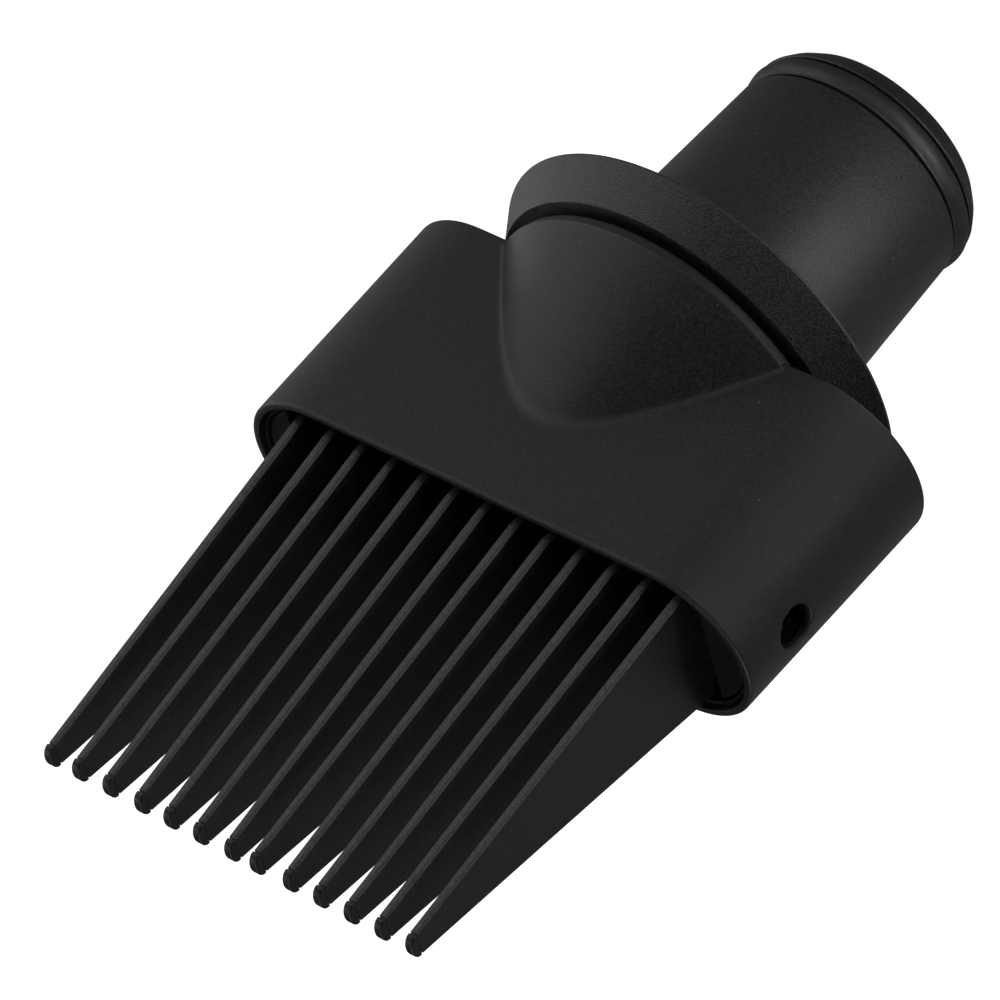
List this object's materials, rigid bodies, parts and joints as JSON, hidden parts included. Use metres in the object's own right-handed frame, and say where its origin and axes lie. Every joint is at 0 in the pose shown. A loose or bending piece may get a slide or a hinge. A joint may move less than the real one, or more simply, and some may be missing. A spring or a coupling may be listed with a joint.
{
  "type": "hair dryer comb nozzle",
  "caption": "Matte black hair dryer attachment: a round sealed spigot and collar carry a swivelling flat nozzle with a row of long comb blades in its mouth.",
  "frame": {"origin": "centre of the spigot's flat end ring, which the part stands on", "axes": "+Z along the air flow from the spigot to the blade tips, X along the row of blades, Y through the nozzle's thickness"},
  "size_m": [0.097, 0.073, 0.1592],
  "materials": {
    "shell_plastic": "fine-grained matte black moulding",
    "comb_plastic": "satin black moulding",
    "tip_plastic": "smooth satin black",
    "inner_plastic": "matte black moulding",
    "seal_rubber": "soft matte rubber",
    "bearing_plastic": "smooth natural bearing plastic",
    "spring_steel": "bare spring steel",
    "magnet_nickel": "nickel plated",
    "screw_steel": "blackened steel"
  },
  "bodies": {
    "adaptor": {"spigot_tube": "shell_plastic", "spigot_seal": "seal_rubber", "spigot_end_ring": "shell_plastic", "collar_ring": "shell_plastic", "collar_back_plate": "shell_plastic", "collar_magnet_1": "magnet_nickel", "collar_magnet_2": "magnet_nickel", "collar_magnet_3": "magnet_nickel", "collar_magnet_4": "magnet_nickel", "collar_magnet_5": "magnet_nickel", "collar_magnet_6": "magnet_nickel", "collar_magnet_7": "magnet_nickel", "collar_magnet_8": "magnet_nickel", "swivel_washer_rear": "bearing_plastic", "swivel_washer_front": "bearing_plastic", "retaining_clip": "spring_steel"},
    "nozzle": {"nozzle_shell": "shell_plastic", "inner_duct": "inner_plastic", "comb_carrier": "inner_plastic", "comb_blade_01": "comb_plastic", "comb_blade_02": "comb_plastic", "comb_blade_03": "comb_plastic", "comb_blade_04": "comb_plastic", "comb_blade_05": "comb_plastic", "comb_blade_06": "comb_plastic", "comb_blade_07": "comb_plastic", "comb_blade_08": "comb_plastic", "comb_blade_09": "comb_plastic", "comb_blade_10": "comb_plastic", "comb_blade_11": "comb_plastic", "comb_blade_12": "comb_plastic", "comb_blade_13": "comb_plastic", "blade_tip_01": "tip_plastic", "blade_tip_02": "tip_plastic", "blade_tip_03": "tip_plastic", "blade_tip_04": "tip_plastic", "blade_tip_05": "tip_plastic", "blade_tip_06": "tip_plastic", "blade_tip_07": "tip_plastic", "blade_tip_08": "tip_plastic", "blade_tip_09": "tip_plastic", "blade_tip_10": "tip_plastic", "blade_tip_11": "tip_plastic", "blade_tip_12": "tip_plastic", "blade_tip_13": "tip_plastic", "side_screw_left": "screw_steel", "side_screw_right": "screw_steel"}
  },
  "joints": [
    {"name": "nozzle_swivel", "type": "hinge", "parent": "adaptor", "child": "nozzle", "pos_m": [0, 0, 0.054], "axis": [0, 0, 1], "continuous": true}
  ]
}
